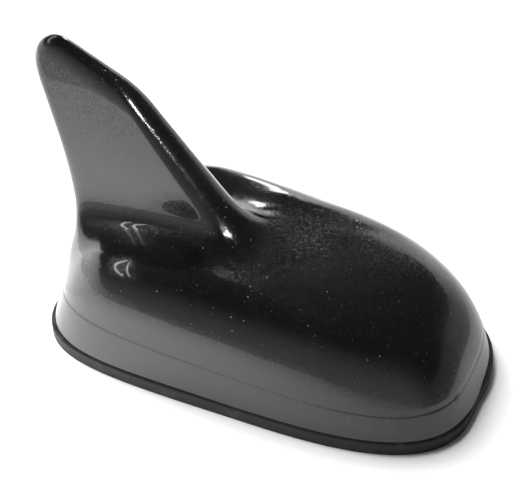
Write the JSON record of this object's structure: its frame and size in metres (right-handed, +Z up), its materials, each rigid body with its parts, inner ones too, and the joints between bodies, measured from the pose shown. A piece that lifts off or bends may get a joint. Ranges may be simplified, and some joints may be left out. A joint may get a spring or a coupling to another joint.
{
  "type": "shark fin roof aerial",
  "caption": "Car roof aerial with a gloss black pod and a thin swept-back fin on a rubber gasket, hollow threaded stud below for phone and satellite signals.",
  "frame": {"origin": "centre of the gasket's underside, where the stud's axis meets the roof skin", "axes": "+X to the front of the car, +Y to its left, +Z up from the roof"},
  "size_m": [0.1196, 0.065, 0.0931],
  "materials": {
    "cover_paint": "gloss black pearl paint over plastic, dusty and finely scratched",
    "gasket_rubber": "matt",
    "seal_rubber": "matt",
    "cast_metal": "as cast, stud threaded",
    "screw_steel": "zinc plated",
    "board": "green solder mask",
    "patch_ceramic": "pale ceramic with a silver face",
    "tin": "tinned",
    "chip_black": "moulded",
    "filter_ceramic": "ceramic with a plated lid",
    "capacitor_tan": "ceramic",
    "carrier_plastic": "natural plastic",
    "radiator_metal": "bare stamped sheet",
    "spring_metal": "gold plated",
    "insert_plastic": "moulded",
    "shell_metal": "gold plated",
    "insulator_white": "white insulator",
    "contact_metal": "gold plated"
  },
  "bodies": {
    "root": {"fin_cover": "cover_paint", "roof_gasket": "gasket_rubber", "base_plate": "cast_metal", "cover_seal": "seal_rubber", "cover_screws": "screw_steel", "circuit_board": "board", "board_screws": "screw_steel", "gps_patch": "patch_ceramic", "gps_feed_pin": "contact_metal", "shield_can": "tin", "amplifier_chip": "chip_black", "band_filter": "filter_ceramic", "chip_capacitors": "capacitor_tan", "radiator_carrier": "carrier_plastic", "phone_radiator": "radiator_metal", "carrier_screws": "screw_steel", "contact_spring": "spring_metal", "socket_insert": "insert_plastic", "phone_socket_shell": "shell_metal", "phone_socket_insulator": "insulator_white", "phone_socket_contact": "contact_metal", "gps_socket_shell": "shell_metal", "gps_socket_insulator": "insulator_white", "gps_socket_contact": "contact_metal"}
  },
  "joints": []
}
